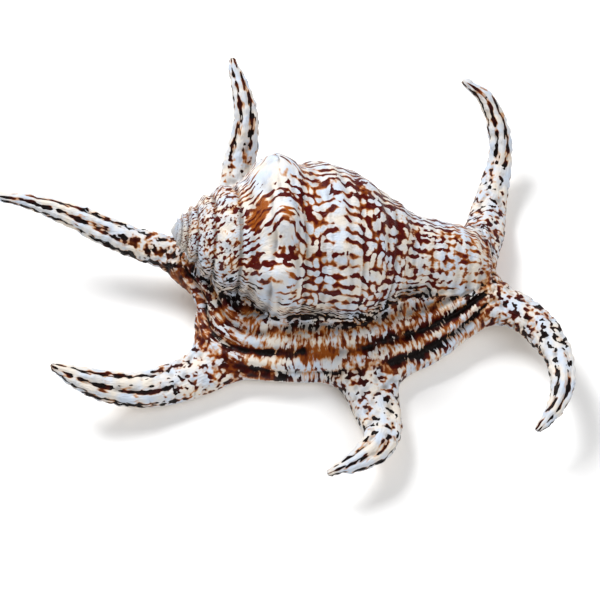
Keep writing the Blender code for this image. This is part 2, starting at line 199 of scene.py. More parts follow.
# The skin: its voxels, how it is drawn onto the form, and how its hollows are measured.
VOXEL = 0.68
SETTLE_PASSES = 5
SETTLE_SHARE = 0.35
SETTLE_REACH = 1.5
HOLLOW_PASSES = 6
HOLLOW_SHARE = 0.8
HOLLOW_DEPTH = 0.25

# Where one form gives way to the next, against the difference of the distances to them.
FINGER_EDGE = (3.0, -1.4)
LIP_EDGE = (1.8, -1.8)
SEAM_REACH = 3.5
# How slowly a finger's marks begin, and its stripes, in shares of its length.
FINGER_START_FADE = 0.2
STRIPES_FADE = 0.26
# Where a pattern's two ends meet, in radians: on the coil, from the end of its turn, and under a finger.
COIL_END_FADES = (0.35, 0.12)
FINGER_BENEATH_FADES = (2.3, 2.8)
# Fades towards the spire's end by x, and off the table by z.
BEHIND_FADES = (-14.0, -22.0)
TOPSIDE_FADES = (3.0, 9.0)
# Fades into the mouth and over the flush beside it by the distance from it, and up the throat by z.
MOUTH_FADES = (2.4, 0.6)
FLUSH_FADES = (11.0, 0.5)
THROAT_FADES = (1.0, 7.0)
# Where the skin counts as underside: how far its normal points down, and its height.
UNDERSIDE_TILT = (-0.1, -0.7)
UNDERSIDE_FADES = (14.0, 6.0)

# Share of each stretch of the coil that is covered with brown, against the distance from the apex.
COIL_COVER = [
    (0, -0.1), (2, 0.24), (5, 0.42), (12, 0.46), (20, 0.46), (24, 0.38), (28, 0.20), (33, 0.32),
    (36, 0.42), (39, 0.54), (43, 0.56), (47, 0.50), (50, 0.42), (53, 0.44), (56, 0.52), (61, 0.54),
    (66, 0.52), (72, 0.46), (84, 0.46), (96, 0.44), (103, 0.44),
]
# Share of the brown that stays orange there.
COIL_ORANGE = [
    (0, 0.1), (18, 0.1), (24, 0.3), (28, 0.2), (37, 0.2), (41, 0.5), (47, 0.3), (53, 0.15),
    (60, 0.4), (66, 0.1), (84, 0.2), (90, 0.7), (103, 0.5),
]
# How far the marks of each stretch open into rows of ovals rather than run as dashes.
COIL_OVALS = [
    (0, 0), (35, 0), (37.5, 1), (44, 1), (47, 0.5), (54, 0.35), (57, 0.8), (66, 0.7), (72, 0.55),
    (86, 0.55), (103, 0.4),
]
OVALS_BEGIN = (math.radians(68), math.radians(86))
# How far apart the rows of marks lie, where on the coil they lie wide rather than close, and where fine.
WIDE_PITCH = 3.1
CLOSE_PITCH = 2.5
FINE_PITCH = 1.7
COIL_WIDE = [(0, 0), (43, 0), (46, 0.9), (54, 0.9), (58, 0.1), (103, 0)]
FINE_BEGINS = (math.radians(165), math.radians(185))
# How much the rows outweigh the breaks in them: little in the spots of the spire, more in the body's
# dashes, and most where the rows lie wide.
SPOTTED = 0.05
DASHED = 0.13
LONG_DASHED = 0.18
DASHES_BEGIN = (18.0, 24.0)
# Millimetres around the coil for each radian, against the distance from the apex.
COIL_GIRTH = [(0, 22), (SHOULDER, 22), (56, 24), (75, 15), (103, 12)]
# How far the rows bend over a knob's height, and lean on the spire.
ROWS_OVER_KNOBS = 0.9
ROWS_LEAN = 0.35
# How black the marks on the low side of the coil are, and how much blacker on the spire: painted shade laid
# on real marks.
LOW_SIDE_SHADE_BLACK = 0.65
LOW_SIDE_SHADE_TURNS = (math.radians(150), math.radians(185))
SPIRE_LOW_SHADE_BLACK = 0.5
SPIRE_LOW_SHADE_TURNS = (math.radians(150), math.radians(165))
SPIRE_LOW_SHADE_FADES = (30, 24)
# Stains: turn in degrees, distance from the apex, half sizes along and around, cover, orange.
# For their size around, a radian counts as this many millimetres.
STAIN_GIRTH = 22.0
STAINS = [
    (96, 26.2, 1.9, 3.6, 0.8, 1.5), (106, 23.8, 2.3, 3.2, 0.8, 1.5), (84, 27.8, 1.5, 1.2, 0.4, 0.9),
    (88, 31.8, 3.6, 0.8, 0.6, 0.0), (90, 36.8, 2.0, 1.2, 0.7, 0.1), (100, 39.6, 0.9, 3.4, 0.5, 0.1),
    (111, 28.0, 1.6, 1.1, 0.5, 0.3), (104, 32.0, 1.5, 1.4, 0.7, 1.2), (96, 32.4, 3.0, 1.8, -0.35, 0.5),
    (119, 30.6, 2.0, 0.5, 0.5, 0.0), (126, 30.0, 1.4, 0.4, 0.4, 0.0), (125, 34.4, 1.2, 0.5, 0.4, 0.0),
    (137, 28.0, 1.8, 1.3, 0.7, 0.1), (132, 32.6, 3.0, 0.9, 0.6, 0.0), (142, 24.4, 1.9, 3.0, 0.5, 0.1),
    (146, 31.4, 3.4, 3.2, 0.05, 1.4), (60, 29.0, 3.4, 5.0, -0.5, 0.3), (110, 48.6, 1.8, 3.0, -0.25, 0.2),
    (80, 57.6, 2.4, 2.2, 0.4, 0.5), (87, 60.4, 2.2, 1.8, 0.4, 0.3), (92, 69.5, 3.0, 1.8, 0.5, 0.1),
    (93, 75.5, 2.0, 1.2, 0.5, 0.1), (98, 77.0, 1.8, 1.0, 0.5, 0.0), (74, 86.0, 2.6, 1.2, 0.5, 0.0),
    (90, 87.0, 8.0, 0.8, 0.5, 0.0), (122, 75.0, 4.0, 0.9, 0.45, 0.0), (158, 83.0, 3.0, 0.6, 0.5, 0.0),
    (108, 69.0, 0.9, 9.0, 0.35, 0.1), (113, 17.0, 2.6, 5.0, -0.25, 0.1), (120, 92.4, 1.0, 3.0, 0.5, 1.0),
    (168, 93.0, 3.0, 1.6, -0.5, 0.5),
]
# The two brown bands along the lip: place along X, share of the way across, half width, cover, orange.
UPPER_BAND = [
    (-24, 0.62, 0.06, 0.0, 0.3), (-18, 0.55, 0.07, 0.35, 0.0), (-8, 0.38, 0.08, 0.36, 0.0),
    (-2, 0.34, 0.16, 0.30, 0.3), (3, 0.33, 0.18, 0.26, 0.9), (9, 0.31, 0.18, 0.26, 0.8),
    (13, 0.29, 0.15, 0.05, 0.7), (20, 0.25, 0.17, 0.28, 0.5), (32, 0.17, 0.17, 0.28, 0.2),
    (49, 0.28, 0.17, 0.25, 0.1), (58, 0.3, 0.1, 0.1, 0.2),
]
LOWER_BAND = [
    (-26, 1.1, 0.1, 0.1, 0.3), (-20, 0.98, 0.13, 0.38, 0.0), (-12, 0.88, 0.13, 0.28, 0.0),
    (-4, 0.86, 0.16, 0.10, 0.2), (6, 0.86, 0.16, 0.08, 0.3), (14, 0.84, 0.16, 0.08, 0.2),
    (24, 0.78, 0.15, 0.10, 0.1), (29, 0.7, 0.16, 0.28, 0.0), (42, 0.66, 0.16, 0.28, 0.05),
    (52, 0.7, 0.1, 0.1, 0.0),
]
# Cover, orange and black of the plain lip, and what each gains behind the spire and in the seam. The black
# gained in the seam is painted shade.
LIP_COVER = (0.42, 0.13, 0.0)
LIP_ORANGE = (0.5, -0.05, -0.5)
LIP_BLACK = (0.1, 0.15, 0.2)
# More cover on the lip close to the body, by the share of the way across.
INNER_COVER = 0.07
INNER_FADES = (0.12, 0.02)
# Painted shade: more cover and black in the grooves, and more black in the seam. More cover where two forms
# blend, and less where a pattern ends.
GROOVE_SHADE_COVER = 0.06
BLEND_COVER = 0.10
WRAP_COVER = -0.4
GROOVE_SHADE_BLACK = 0.4
SEAM_SHADE_BLACK = 0.4
# Black gives way where the marks are this orange.
ORANGE_OVER_BLACK = (0.95, 0.6)
# Cover at the root and at the tip of each finger, and orange and black at the root.
FINGER_MARKS = {
    "posterior": (0.52, 0.37, 0.5, 0.55), "spire": (0.22, 0.38, 0.9, 0.0), "canal": (0.44, 0.36, 0.3, 0.3),
    "anterior": (0.48, 0.36, 0.3, 0.35), "middle": (0.40, 0.34, 0.3, 0.3), "lateral": (0.42, 0.36, 0.5, 0.25),
}
ROOT_FADES = (0.25, 0.7)
TIP_BLACK = 0.72
# More cover and black along both sides of each finger: painted shade at its outline.
EDGE_SHADE_COVER = 0.07
EDGE_SHADE_BLACK = 0.2
# Share of its length from which each finger is marked as one, and from which its flecks become stripes,
# and how many millimetres its flecks spread past its root.
FINGER_STARTS = {
    "posterior": (0.14, 0.38, 0.0), "spire": (0.14, 0.46, 0.0), "canal": (0.03, 0.52, 3.0),
    "anterior": (0.08, 0.55, 1.0), "middle": (0.14, 0.58, 0.0), "lateral": (0.14, 0.42, 0.0),
}

# Colours of the brown pigment, thick, thin and near black, and of its wash on the white. Its near black in
# the grooves, the seam, along the fingers' sides and on the coil's low side is painted shade.
MAROON = "#480602"
BURNT_ORANGE = "#8E4810"
NEAR_BLACK = "#0B0201"
TAN_WASH = "#B67A34"
# Colours of the bare shell: outside, dusty grey that is also painted shade, underneath, beside the mouth, and
# inside it.
CREAM_WHITE = "#DBD3C8"
BLUISH_WHITE = "#C2CCDA"
DUST_AND_SHADE_GREY = "#6E6762"
CREAM_CALLUS = "#E9DCCB"
SHADED_CALLUS = "#E2D3C4"
SALMON_FLUSH = "#D9A27A"
THROAT_EDGE = "#C97F55"
THROAT_DEEP = "#8A3B1B"
PALE_RIDGE = "#EBCBA8"

# Real sizes that the patterns are drawn at, in millimetres.
PIGMENT_PATCH = 4.0
CLOUD = 6.0
FLECK = 2.0
# How often marks repeat in a millimetre along and across the lip and the fingers.
LIP_STREAKS = (0.95, 0.34, 1.0)
LIP_STREAKS_TURNED = (0.42, 1.0, 1.0)
LIP_CLUMPS = (0.34, 0.4, 1.0)
FINGER_DASHES = (0.26, 0.7, 0.0)
# The weight of the lip's clumps against its streaks.
CLUMP_SHARE = 0.33
# How often they repeat in a pitch along and around the coil: breaks in the rows, and the rows' ovals.
COIL_BREAKS = (0.8, 1.1)
CLOSE_CELLS = (1.1, 0.8)
WIDE_CELLS = (0.7, 1.0)
FINE_CELLS = (1.0, 1.0)
# How the rows wander: millimetres from side to side at most, along and around the coil, and waves to
# the millimetre. They zigzag by this many millimetres around the coil for each along it.
ROW_WANDER = (5.0, 6.0, 0.0)
ROW_WAVES = 0.11
ROW_ZIGZAG = 0.45
# Growth threads: their number per millimetre along and across each form. Real ones are finer, and are
# drawn this coarse so that they show. Their height is in millimetres.
THREADS = {"coil_place": (0.8, 1.2, 0.0), "lip_place": (1.5, 0.3, 0.0), "finger_place": (0.5, 1.5, 0.0)}
THREAD_HEIGHT = 0.6
# Layers of the skin that the material reads: places in millimetres along and across each form, with the
# turn around a finger as the third value, and then shares.
SKIN_LAYERS = (*THREADS, "lies_on", "marking", "pattern", "spacing", "bareness", "mouth")

# Camera and its target, in millimetres in the working frame.
VIEW_TARGET = np.array([0.0, -11.0, 10.0])
VIEW_ELEVATION = math.radians(60)
VIEW_DISTANCE = 560.0
LENS = 105.0
# The table's half size in metres, and how far it lies below the shell, in millimetres.
TABLE_HALF = 3.0
TABLE_GAP = 0.2
# Soft lights, each with its place and size in metres and its power in watts, and the point they face.
SOFTBOXES = {"key": ((-0.38, 0.42, 0.70), 0.35, 8.4), "fill": ((0.5, -0.4, 0.9), 0.8, 5.0)}
LIT_POINT = (0.0, 0.0, 0.02)
SKY_STRENGTH = 0.4


def smoothstep(low, high, value):
    """0 at low and before it, 1 at high and past it, and a smooth rise between them."""
    share = np.clip((value - low) / (high - low), 0.0, 1.0)
    return share * share * (3.0 - 2.0 * share)


def read_table(table, at):
    """The second column of the table, read off at these values of its first."""
    places, values = np.array(table, float).T
    return np.interp(at, places, values)


def bell(value, place, width):
    """1 at the place, sinking to nothing about two widths from it."""
    return np.exp(-(((value - place) / width) ** 2))


def soft_min(a, b, reach):
    """The lower of two distances, filleted where they are within reach of each other."""
    near = np.maximum(reach - np.abs(a - b), 0.0) / reach
    return np.minimum(a, b) - near * near * reach / 4.0


def soft_max(a, b, reach):
    """The higher of two distances, filleted in the same way."""
    return -soft_min(-a, -b, reach)


def smooth_path(stations, step):
    """The stations joined by a smooth curve and read off every step millimetres."""
    knots = np.array(stations, float)
    along = np.concatenate([[0.0], np.cumsum(np.linalg.norm(np.diff(knots[:, :3], axis=0), axis=1))])
    slopes = np.gradient(knots, along, axis=0)
    read = np.linspace(0.0, along[-1], int(along[-1] / step) + 2)
    at = np.clip(np.searchsorted(along, read, side="right") - 1, 0, len(along) - 2)
    gap = (along[at + 1] - along[at])[:, None]
    t = ((read - along[at]) / gap[:, 0])[:, None]
    return (
        (2 * t**3 - 3 * t**2 + 1) * knots[at]
        + (t**3 - 2 * t**2 + t) * gap * slopes[at]
        + (-2 * t**3 + 3 * t**2) * knots[at + 1]
        + (t**3 - t**2) * gap * slopes[at + 1]
    )


class Sweep:
    """An oval section carried along a curve, for measuring distances to it and places on it."""

    # Millimetres between two readings, the least half size, and how many points are measured at a time.
    STEP = 1.0
    THINNEST_HALF = 0.6
    BLOCK = 20000

    def __init__(self, stations):
        rows = smooth_path(stations, self.STEP)
        self.middle = rows[:, :3]
        self.half = np.maximum(rows[:, 3:5] / 2.0, self.THINNEST_HALF)
        roll = np.radians(rows[:, 5])[:, None]
        forward = np.gradient(self.middle, axis=0)
        self.forward = forward / np.linalg.norm(forward, axis=1)[:, None]
        side = np.cross([0.0, 0.0, 1.0], self.forward)
        side /= np.linalg.norm(side, axis=1)[:, None]
        up = np.cross(self.forward, side)
        self.side = side * np.cos(roll) + up * np.sin(roll)
        self.up = up * np.cos(roll) - side * np.sin(roll)
        run = np.linalg.norm(np.diff(self.middle, axis=0), axis=1)
        self.along = np.concatenate([[0.0], np.cumsum(run)])

    def local(self, points):
        """For each point: its place along the curve, across it and above it, and the oval's size there."""
        nearest = np.empty(len(points), int)
        for start in range(0, len(points), self.BLOCK):
            block = points[start : start + self.BLOCK]
            gaps = ((block[:, None, :] - self.middle[None, :, :]) ** 2).sum(2)
            nearest[start : start + self.BLOCK] = gaps.argmin(1)
        away = points - self.middle[nearest]
        ahead = (away * self.forward[nearest]).sum(1)
        place = np.clip(self.along[nearest] + ahead, 0.0, self.along[-1])
        past = self.along[nearest] + ahead - place

        def read(rows):
            return np.stack([np.interp(place, self.along, rows[:, k]) for k in range(rows.shape[1])], 1)

        away = points - read(self.middle)
        across = (away * read(self.side)).sum(1)
        above = (away * read(self.up)).sum(1)
        return place, past, across, above, read(self.half)

    def distance(self, points):
        """Distance from the sweep's surface, negative inside."""
        _, past, across, above, half = self.local(points)
        cap = np.minimum(half[:, 0], half[:, 1])
        oval = np.sqrt((across / half[:, 0]) ** 2 + (above / half[:, 1]) ** 2 + (past / cap) ** 2) + 1e-6
        slope = np.sqrt(
            (across / half[:, 0] ** 2) ** 2 + (above / half[:, 1] ** 2) ** 2 + (past / cap**2) ** 2
        )
        return oval * (oval - 1.0) / np.maximum(slope, 1e-6)


def axis_place(points):
    """Distance from the apex along the axis, distance out from it, and turn about it."""
    away = points - APEX
    along = away @ AXIS
    a, b = away @ TO_COLUMELLA, away @ TO_BACK
    turn = np.arctan2(b, a)
    end = LIP_TURN + LIP_SWEEP
    turn = np.where(turn > end, turn - 2 * math.pi, turn)
    turn = np.where(turn <= end - 2 * math.pi, turn + 2 * math.pi, turn)
    return along, np.hypot(a, b), turn


def growth(along, turn):
    """How much larger the spiral is at this turn than it was on the back."""
    whole = GROWTH_PER_TURN ** ((turn - BACK_TURN) / (2 * math.pi))
    return 1.0 + (whole - 1.0) * (1.0 - smoothstep(*SLANT_FADES, along))


def knob_shares(back, turn, radius):
    """How high each point is on the knobs, in millimetres."""
    raised = np.zeros_like(back)
    for degrees, distance, height, half_along, half_across in KNOBS:
        across = (turn - math.radians(degrees)) * np.maximum(radius, 1.0)
        raised += height * np.exp(-(((back - distance) / half_along) ** 2 + (across / half_across) ** 2))
    return raised


def whorl_share(back):
    """How far each point of the spire is from the seam above its whorl to the seam below."""
    whorl = np.log(np.maximum(back, 0.2) / LAST_SUTURE) / math.log(GROWTH_PER_TURN)
    return whorl - np.floor(whorl)


def turn_radius(along, turn):
    """Radius of one turn of the coil: the profile, its stepped sutures and its knobs."""
    grown = growth(along, turn)
    back = along / grown
    on_spire = 1.0 - smoothstep(0.8 * LAST_SUTURE, 1.5 * LAST_SUTURE, back)
    radius = read_table(PROFILE, back) * grown**on_spire
    share = whorl_share(back)
    seam = bell(np.minimum(share, 1.0 - share), 0.0, SEAM_SHARE)
    step = WHORL_SWELL * np.sin(math.pi * share**0.7) - WHORL_SEAM * seam
    beads = WHORL_BEADS * np.sin(turn * BEADS_PER_RADIAN) * bell(share, *BEAD_ROW)
    stepped = 1.0 - smoothstep(LAST_SUTURE - 1.0, LAST_SUTURE + 1.5, back)
    radius = radius * (1.0 + (step + beads) * stepped)
    radius -= SUTURE_DEPTH * bell(back, LAST_SUTURE, SUTURE_WIDTH) * (1.0 - stepped)
    radius *= 1.0 - LOW_SIDE_SHRINK * smoothstep(*LOW_SIDE_TURNS, turn)
    return radius + knob_shares(back, turn, radius)


def whorl_radius(along, turn):
    """Radius of the coil. Past the lip it sinks onto the turn before."""
    past_lip = smoothstep(LIP_TURN, LIP_TURN + LIP_SWEEP, turn)
    here = turn_radius(along, turn)
    return here + (turn_radius(along, turn - 2 * math.pi) - here) * past_lip


def whorl_distance(points):
    """Distance from the coil, from its radius and how steeply that changes, negative inside."""
    along, out, turn = axis_place(points)
    small = 0.05
    radius = whorl_radius(along, turn)
    lengthwise = (whorl_radius(along + small, turn) - radius) / small
    roundwise = (whorl_radius(along, turn + small / 10) - radius) / (small / 10) / np.maximum(out, 2.0)
    steep = np.sqrt(1.0 + lengthwise**2 + roundwise**2)
    past_ends = np.maximum(-along, along - PROFILE[-1][0])
    return np.maximum((out - radius) / steep, past_ends)


def shell_distance(points, sweeps):
    """Distance from the shell's plain form, negative inside."""
    distance = soft_min(whorl_distance(points), sweeps["lip"].distance(points), LIP_FILLET)
    for name in FINGERS:
        distance = soft_min(distance, sweeps[name].distance(points), FINGER_FILLET)
    distance = soft_max(distance, -sweeps["mouth"].distance(points), MOUTH_ROUND)
    return soft_max(distance, -points[:, 2], TABLE_ROUND)


class Places:
    """What each point of the skin lies on, and where on it, in each form's own coordinates."""

    def __init__(self, points, sweeps):
        self.points = points
        along, out, turn = axis_place(points)
        self.turn = turn
        self.back = along / growth(along, turn)
        self.knob = knob_shares(self.back, turn, out)
        self.coil_gap = np.abs(whorl_distance(points))
        self.lip_gap = np.abs(sweeps["lip"].distance(points))
        self.mouth_gap = sweeps["mouth"].distance(points)
        self.mouth_along, _, self.mouth_across, _, _ = sweeps["mouth"].local(points)
        place, _, across, above, half = sweeps["lip"].local(points)
        self.lip_along = place
        self.lip_across = -across
        self.lip_share = -across / half[:, 0]
        self.finger_gap = np.full(len(points), np.inf)
        self.finger_name = np.full(len(points), "", dtype=object)
        self.finger_along, self.finger_share, self.finger_angle, self.finger_half = np.zeros((4, len(points)))
        starts = np.zeros((len(points), 3))
        for name in FINGERS:
            gap = np.abs(sweeps[name].distance(points))
            place, _, across, above, half = sweeps[name].local(points)
            here = gap < self.finger_gap
            starts[here] = FINGER_STARTS[name]
            self.finger_gap[here] = gap[here]
            self.finger_along[here] = place[here]
            self.finger_share[here] = place[here] / sweeps[name].along[-1]
            self.finger_angle[here] = np.arctan2(across / half[:, 0], above / half[:, 1])[here]
            self.finger_half[here] = half[here, 0]
            self.finger_name[here] = name
        begins, stripes, spread = starts.T
        free = smoothstep(0.0, FINGER_START_FADE, self.finger_share - begins)
        nearer = self.finger_gap - np.minimum(self.coil_gap, self.lip_gap)
        self.on_finger = smoothstep(*FINGER_EDGE, nearer - spread) * free
        self.on_lip = smoothstep(*LIP_EDGE, self.lip_gap - self.coil_gap) * (1.0 - self.on_finger)
        self.on_coil = 1.0 - self.on_lip - self.on_finger
        last = LIP_TURN + LIP_SWEEP
        to_end = np.minimum(np.abs(turn - last), np.abs(turn - last + 2 * math.pi))
        coil_wrap = smoothstep(*COIL_END_FADES, to_end) * self.on_coil
        finger_wrap = smoothstep(*FINGER_BENEATH_FADES, np.abs(self.finger_angle)) * self.on_finger
        self.wrap = np.maximum(coil_wrap, finger_wrap)
        self.seam = bell(self.lip_gap, self.coil_gap, SEAM_REACH) * (1.0 - self.on_finger)
        self.striping = smoothstep(0.0, STRIPES_FADE, self.finger_share - stripes)
        self.behind = smoothstep(*BEHIND_FADES, points[:, 0])
        self.topside = smoothstep(*TOPSIDE_FADES, points[:, 2])
        self.in_mouth = smoothstep(*MOUTH_FADES, self.mouth_gap)


def crumple(points, size, seed):
    """Soft unevenness between -1 and 1, with lumps of about this size."""
    shift = Vector((seed, -seed, 2 * seed))
    return np.array([noise.noise(Vector(p) / size + shift) for p in points])


def coil_relief(places):
    """Cords, keel and grooves of the body, and the stepped whorls of the spire."""
    back = places.back
    on_body = smoothstep(LAST_SUTURE, LAST_SUTURE + 4, back)
    body = CORD_HEIGHT * np.cos(2 * math.pi * back / CORD_PITCH)
    place, width, high = KEEL
    keel = high * bell(back, place, width)
    grooves = sum(deep * bell(back, place, GROOVE_WIDTH) for place, deep in GROOVES)
    begun = smoothstep(*KEEL_BEGINS, places.turn)
    body = body + keel * begun - grooves * (0.3 + 0.7 * begun)
    for degrees, place, high, half_along, half_around in CRESTS:
        around = (places.turn - math.radians(degrees)) * CREST_GIRTH
        ring = ((back - place) / half_along) ** 2 + (around / half_around) ** 2
        body = body + high * np.exp(-(ring**1.5))
    share = whorl_share(back)
    keel = (SPIRE_KEEL + TIP_KEEL * smoothstep(*TIP_FADES, back)) * bell(share, *KEEL_ROW)
    seam = SPIRE_SEAM * bell(np.minimum(share, 1.0 - share), 0.0, SEAM_LINE_SHARE)
    spire = (keel - seam) * smoothstep(0.5, 3.0, back)
    return body * on_body + spire * (1.0 - on_body)


def band_share(places, band):
    """How far across the lip a band lies, for each point."""
    return read_table([row[:2] for row in band], places.points[:, 0])


def relief(places):
    """Height of the cords, growth folds, ribs, notches and wear over the plain form."""
    upper = band_share(places, UPPER_BAND)
    lower = band_share(places, LOWER_BAND)
    fold = -np.cos(2 * math.pi * (places.lip_share - upper) / np.maximum(lower - upper, 0.3))
    inside_edge = smoothstep(*FOLD_ENDS, np.abs(places.lip_share))
    height = coil_relief(places) * places.on_coil
    height = height + FOLD_HEIGHT * fold * places.on_lip * inside_edge
    rim = smoothstep(*RIM_FADES, places.lip_share) * places.on_lip
    height = height + crumple(places.points, RIM_LUMP_SIZE, RIM_SEED) * RIM_RAGGED * rim
    slender = np.minimum(places.finger_half / RIBBED_HALF, 1.0)
    rib = np.cos(places.finger_angle * RIBS_ROUND) * RIB_HEIGHT * slender * (0.4 + 0.6 * places.striping)
    lumps = crumple(places.points, LUMP_SIZE, LUMP_SEED)
    notch = np.abs(np.sin(math.pi * (places.finger_along + NOTCH_DRIFT * lumps) / NOTCH_PITCH)) - 0.6
    sides = smoothstep(*NOTCH_SIDES, np.abs(np.sin(places.finger_angle)))
    height = height + (rib + notch * NOTCH_DEPTH * sides * slender) * places.on_finger
    height = height + lumps * LUMP_HEIGHT * (1.0 - 0.7 * places.on_coil + 0.5 * places.on_finger)
    height = height + crumple(places.points, CRUMPLE_SIZE, CRUMPLE_SEED) * CRUMPLE_HEIGHT
    outer = smoothstep(*LIRA_FADES, places.mouth_across)
    lirae = np.cos(2 * math.pi * places.mouth_along / LIRA_PITCH) * LIRA_HEIGHT * outer
    return height * places.topside * (1.0 - places.in_mouth) + lirae * places.in_mouth


def read_vectors(mesh, layer):
    """The place or the normal of every point of the mesh."""
    flat = np.empty(len(mesh.vertices) * 3)
    mesh.vertices.foreach_get(layer, flat)
    return flat.reshape(-1, 3)


def write_points(mesh, points):
    """Moves the mesh's points to these places."""
    mesh.vertices.foreach_set("co", points.ravel())
    mesh.update()


def even_out(mesh, points, share):
    """Each point moved a share of the way to the middle of its neighbours."""
    ends = np.empty(len(mesh.edges) * 2, int)
    mesh.edges.foreach_get("vertices", ends)
    ends = ends.reshape(-1, 2)
    total = np.zeros_like(points)
    count = np.zeros(len(points))
    for here, there in ((0, 1), (1, 0)):
        np.add.at(total, ends[:, here], points[ends[:, there]])
        np.add.at(count, ends[:, here], 1.0)
    return points + (total / count[:, None] - points) * share


def fine_skin(solid):
    """A copy of the solid's mesh, merged and remeshed finely, in millimetres in the working frame."""
    joined = bmesh.new()
    joined.from_mesh(solid.data)
    bmesh.ops.remove_doubles(joined, verts=joined.verts, dist=1e-6)
    bmesh.ops.scale(joined, vec=(1 / MM, 1 / MM, 1 / MM), verts=joined.verts)
    bmesh.ops.translate(joined, vec=FOOTPRINT_CENTRE, verts=joined.verts)
    data = bpy.data.meshes.new("speckled_conch")
    joined.to_mesh(data)
    joined.free()
    shell = bpy.data.objects.new("speckled_conch", data)
    bpy.context.scene.collection.objects.link(shell)
    remesh = shell.modifiers.new("fine", "REMESH")
    remesh.mode = "VOXEL"
    remesh.voxel_size = VOXEL
    remesh.use_smooth_shade = True
    graph = bpy.context.evaluated_depsgraph_get()
    skin = bpy.data.meshes.new_from_object(shell.evaluated_get(graph))
    shell.modifiers.clear()
    shell.data = skin
    return shell


def settle(mesh, sweeps):
    """Moves the skin onto the plain form, then raises the relief and levels what rests on the table."""
    points = read_vectors(mesh, "co")
    for _ in range(SETTLE_PASSES):
        points = even_out(mesh, points, SETTLE_SHARE)
        write_points(mesh, points)
        gap = np.clip(shell_distance(points, sweeps), -SETTLE_REACH, SETTLE_REACH)
        points = points - read_vectors(mesh, "normal") * gap[:, None]
    write_points(mesh, points)
    places = Places(points, sweeps)
    points = points + read_vectors(mesh, "normal") * relief(places)[:, None]
    points[:, 2] = np.maximum(points[:, 2], 0.0)
    write_points(mesh, points)
    return places


def hollowness(mesh, normals):
    """How far each point lies below its surroundings, from -1 on a crest to 1 in a groove."""
    points = read_vectors(mesh, "co")
    smooth = points
    for _ in range(HOLLOW_PASSES):
        smooth = even_out(mesh, smooth, HOLLOW_SHARE)
    depth = ((smooth - points) * normals).sum(1)
    return np.clip(depth / HOLLOW_DEPTH, -1.0, 1.0)


def band_marks(places, band):
    """Cover and orange that a band of the lip adds."""
    along = places.points[:, 0]
    middle, half, strength, hue = (read_table([(row[0], row[k]) for row in band], along) for k in range(1, 5))
    here = np.exp(-(((places.lip_share - middle) / half) ** 4))
    return here * strength, here, hue


def coil_marks(places):
    """Cover, orange and black of the coil, with its stains, and its low side painted blacker as shade."""
    cover = read_table(COIL_COVER, places.back)
    orange = read_table(COIL_ORANGE, places.back)
    for degrees, distance, half_along, half_around, strength, hue in STAINS:
        around = (places.turn - math.radians(degrees)) * STAIN_GIRTH
        ring = ((places.back - distance) / half_along) ** 2 + (around / half_around) ** 2
        here = np.exp(-(ring**1.5))
        cover = cover + here * strength
        orange = orange + here * (hue - orange)
    # The real marks on the low side turn near black here: painted shade.
    shaded_low_spire = smoothstep(*SPIRE_LOW_SHADE_TURNS, places.turn) * smoothstep(*SPIRE_LOW_SHADE_FADES, places.back)
    black = LOW_SIDE_SHADE_BLACK * smoothstep(*LOW_SIDE_SHADE_TURNS, places.turn) + SPIRE_LOW_SHADE_BLACK * shaded_low_spire
    return cover, orange, black


def lip_marks(places):
    """Cover, orange and black of the lip, with its two bands."""
    # The seam's share of black is painted shade in the groove against the body.
    cover, orange, black = (
        plain + behind * places.behind + seam * places.seam
        for plain, behind, seam in (LIP_COVER, LIP_ORANGE, LIP_BLACK)
    )
    cover = cover + INNER_COVER * smoothstep(*INNER_FADES, places.lip_share)
    for band in (UPPER_BAND, LOWER_BAND):
        more, here, hue = band_marks(places, band)
        cover = cover + more
        orange = orange + here * (hue - orange)
        black = black + here * (0.6 - 0.8 * hue)
    return cover, orange, black


def finger_marks(places):
    """Cover, orange and black of each finger, from its root to its tip, and darker along its sides as painted
    shade.
    """
    cover, orange, black = np.zeros((3, len(places.points)))
    on_way = smoothstep(*ROOT_FADES, places.finger_share)
    # Both sides of each finger get more cover and black as painted shade.
    shaded_edge = smoothstep(0.8, 1.0, np.abs(np.sin(places.finger_angle)))
    for name, (root, tip, hue, dark) in FINGER_MARKS.items():
        here = places.finger_name == name
        cover = np.where(here, root + (tip - root) * on_way + EDGE_SHADE_COVER * shaded_edge, cover)
        orange = np.where(here, hue * (1.0 - 0.8 * on_way), orange)
        black = np.where(here, dark + (TIP_BLACK - dark) * on_way + EDGE_SHADE_BLACK * shaded_edge, black)
    return cover, orange, black


def markings(places, hollow, normals):
    """For each point: cover with brown, its shares of orange and black, and how far it faces the table."""
    cover, orange, black = (
        coil * places.on_coil + lip * places.on_lip + finger * places.on_finger
        for coil, lip, finger in zip(coil_marks(places), lip_marks(places), finger_marks(places))
    )
    # The brown and black added in the grooves and the seam are painted shade.
    groove_shade = np.maximum(hollow, 0.0)
    blended = 4.0 * np.maximum(places.on_coil * places.on_lip, places.on_finger * (1.0 - places.on_finger))
    cover = cover + GROOVE_SHADE_COVER * groove_shade + BLEND_COVER * blended
    cover = cover + WRAP_COVER * places.wrap * places.on_coil
    black = black + (GROOVE_SHADE_BLACK * groove_shade + SEAM_SHADE_BLACK * places.seam) * (1.0 - 0.6 * places.behind)
    underside = smoothstep(*UNDERSIDE_TILT, normals[:, 2])
    underside = underside * smoothstep(*UNDERSIDE_FADES, places.points[:, 2])
    bare = np.maximum(underside, places.in_mouth)
    black = np.clip(black, 0.0, 1.0) * smoothstep(*ORANGE_OVER_BLACK, orange)
    return cover - (cover + 0.5) * bare, orange, black, underside


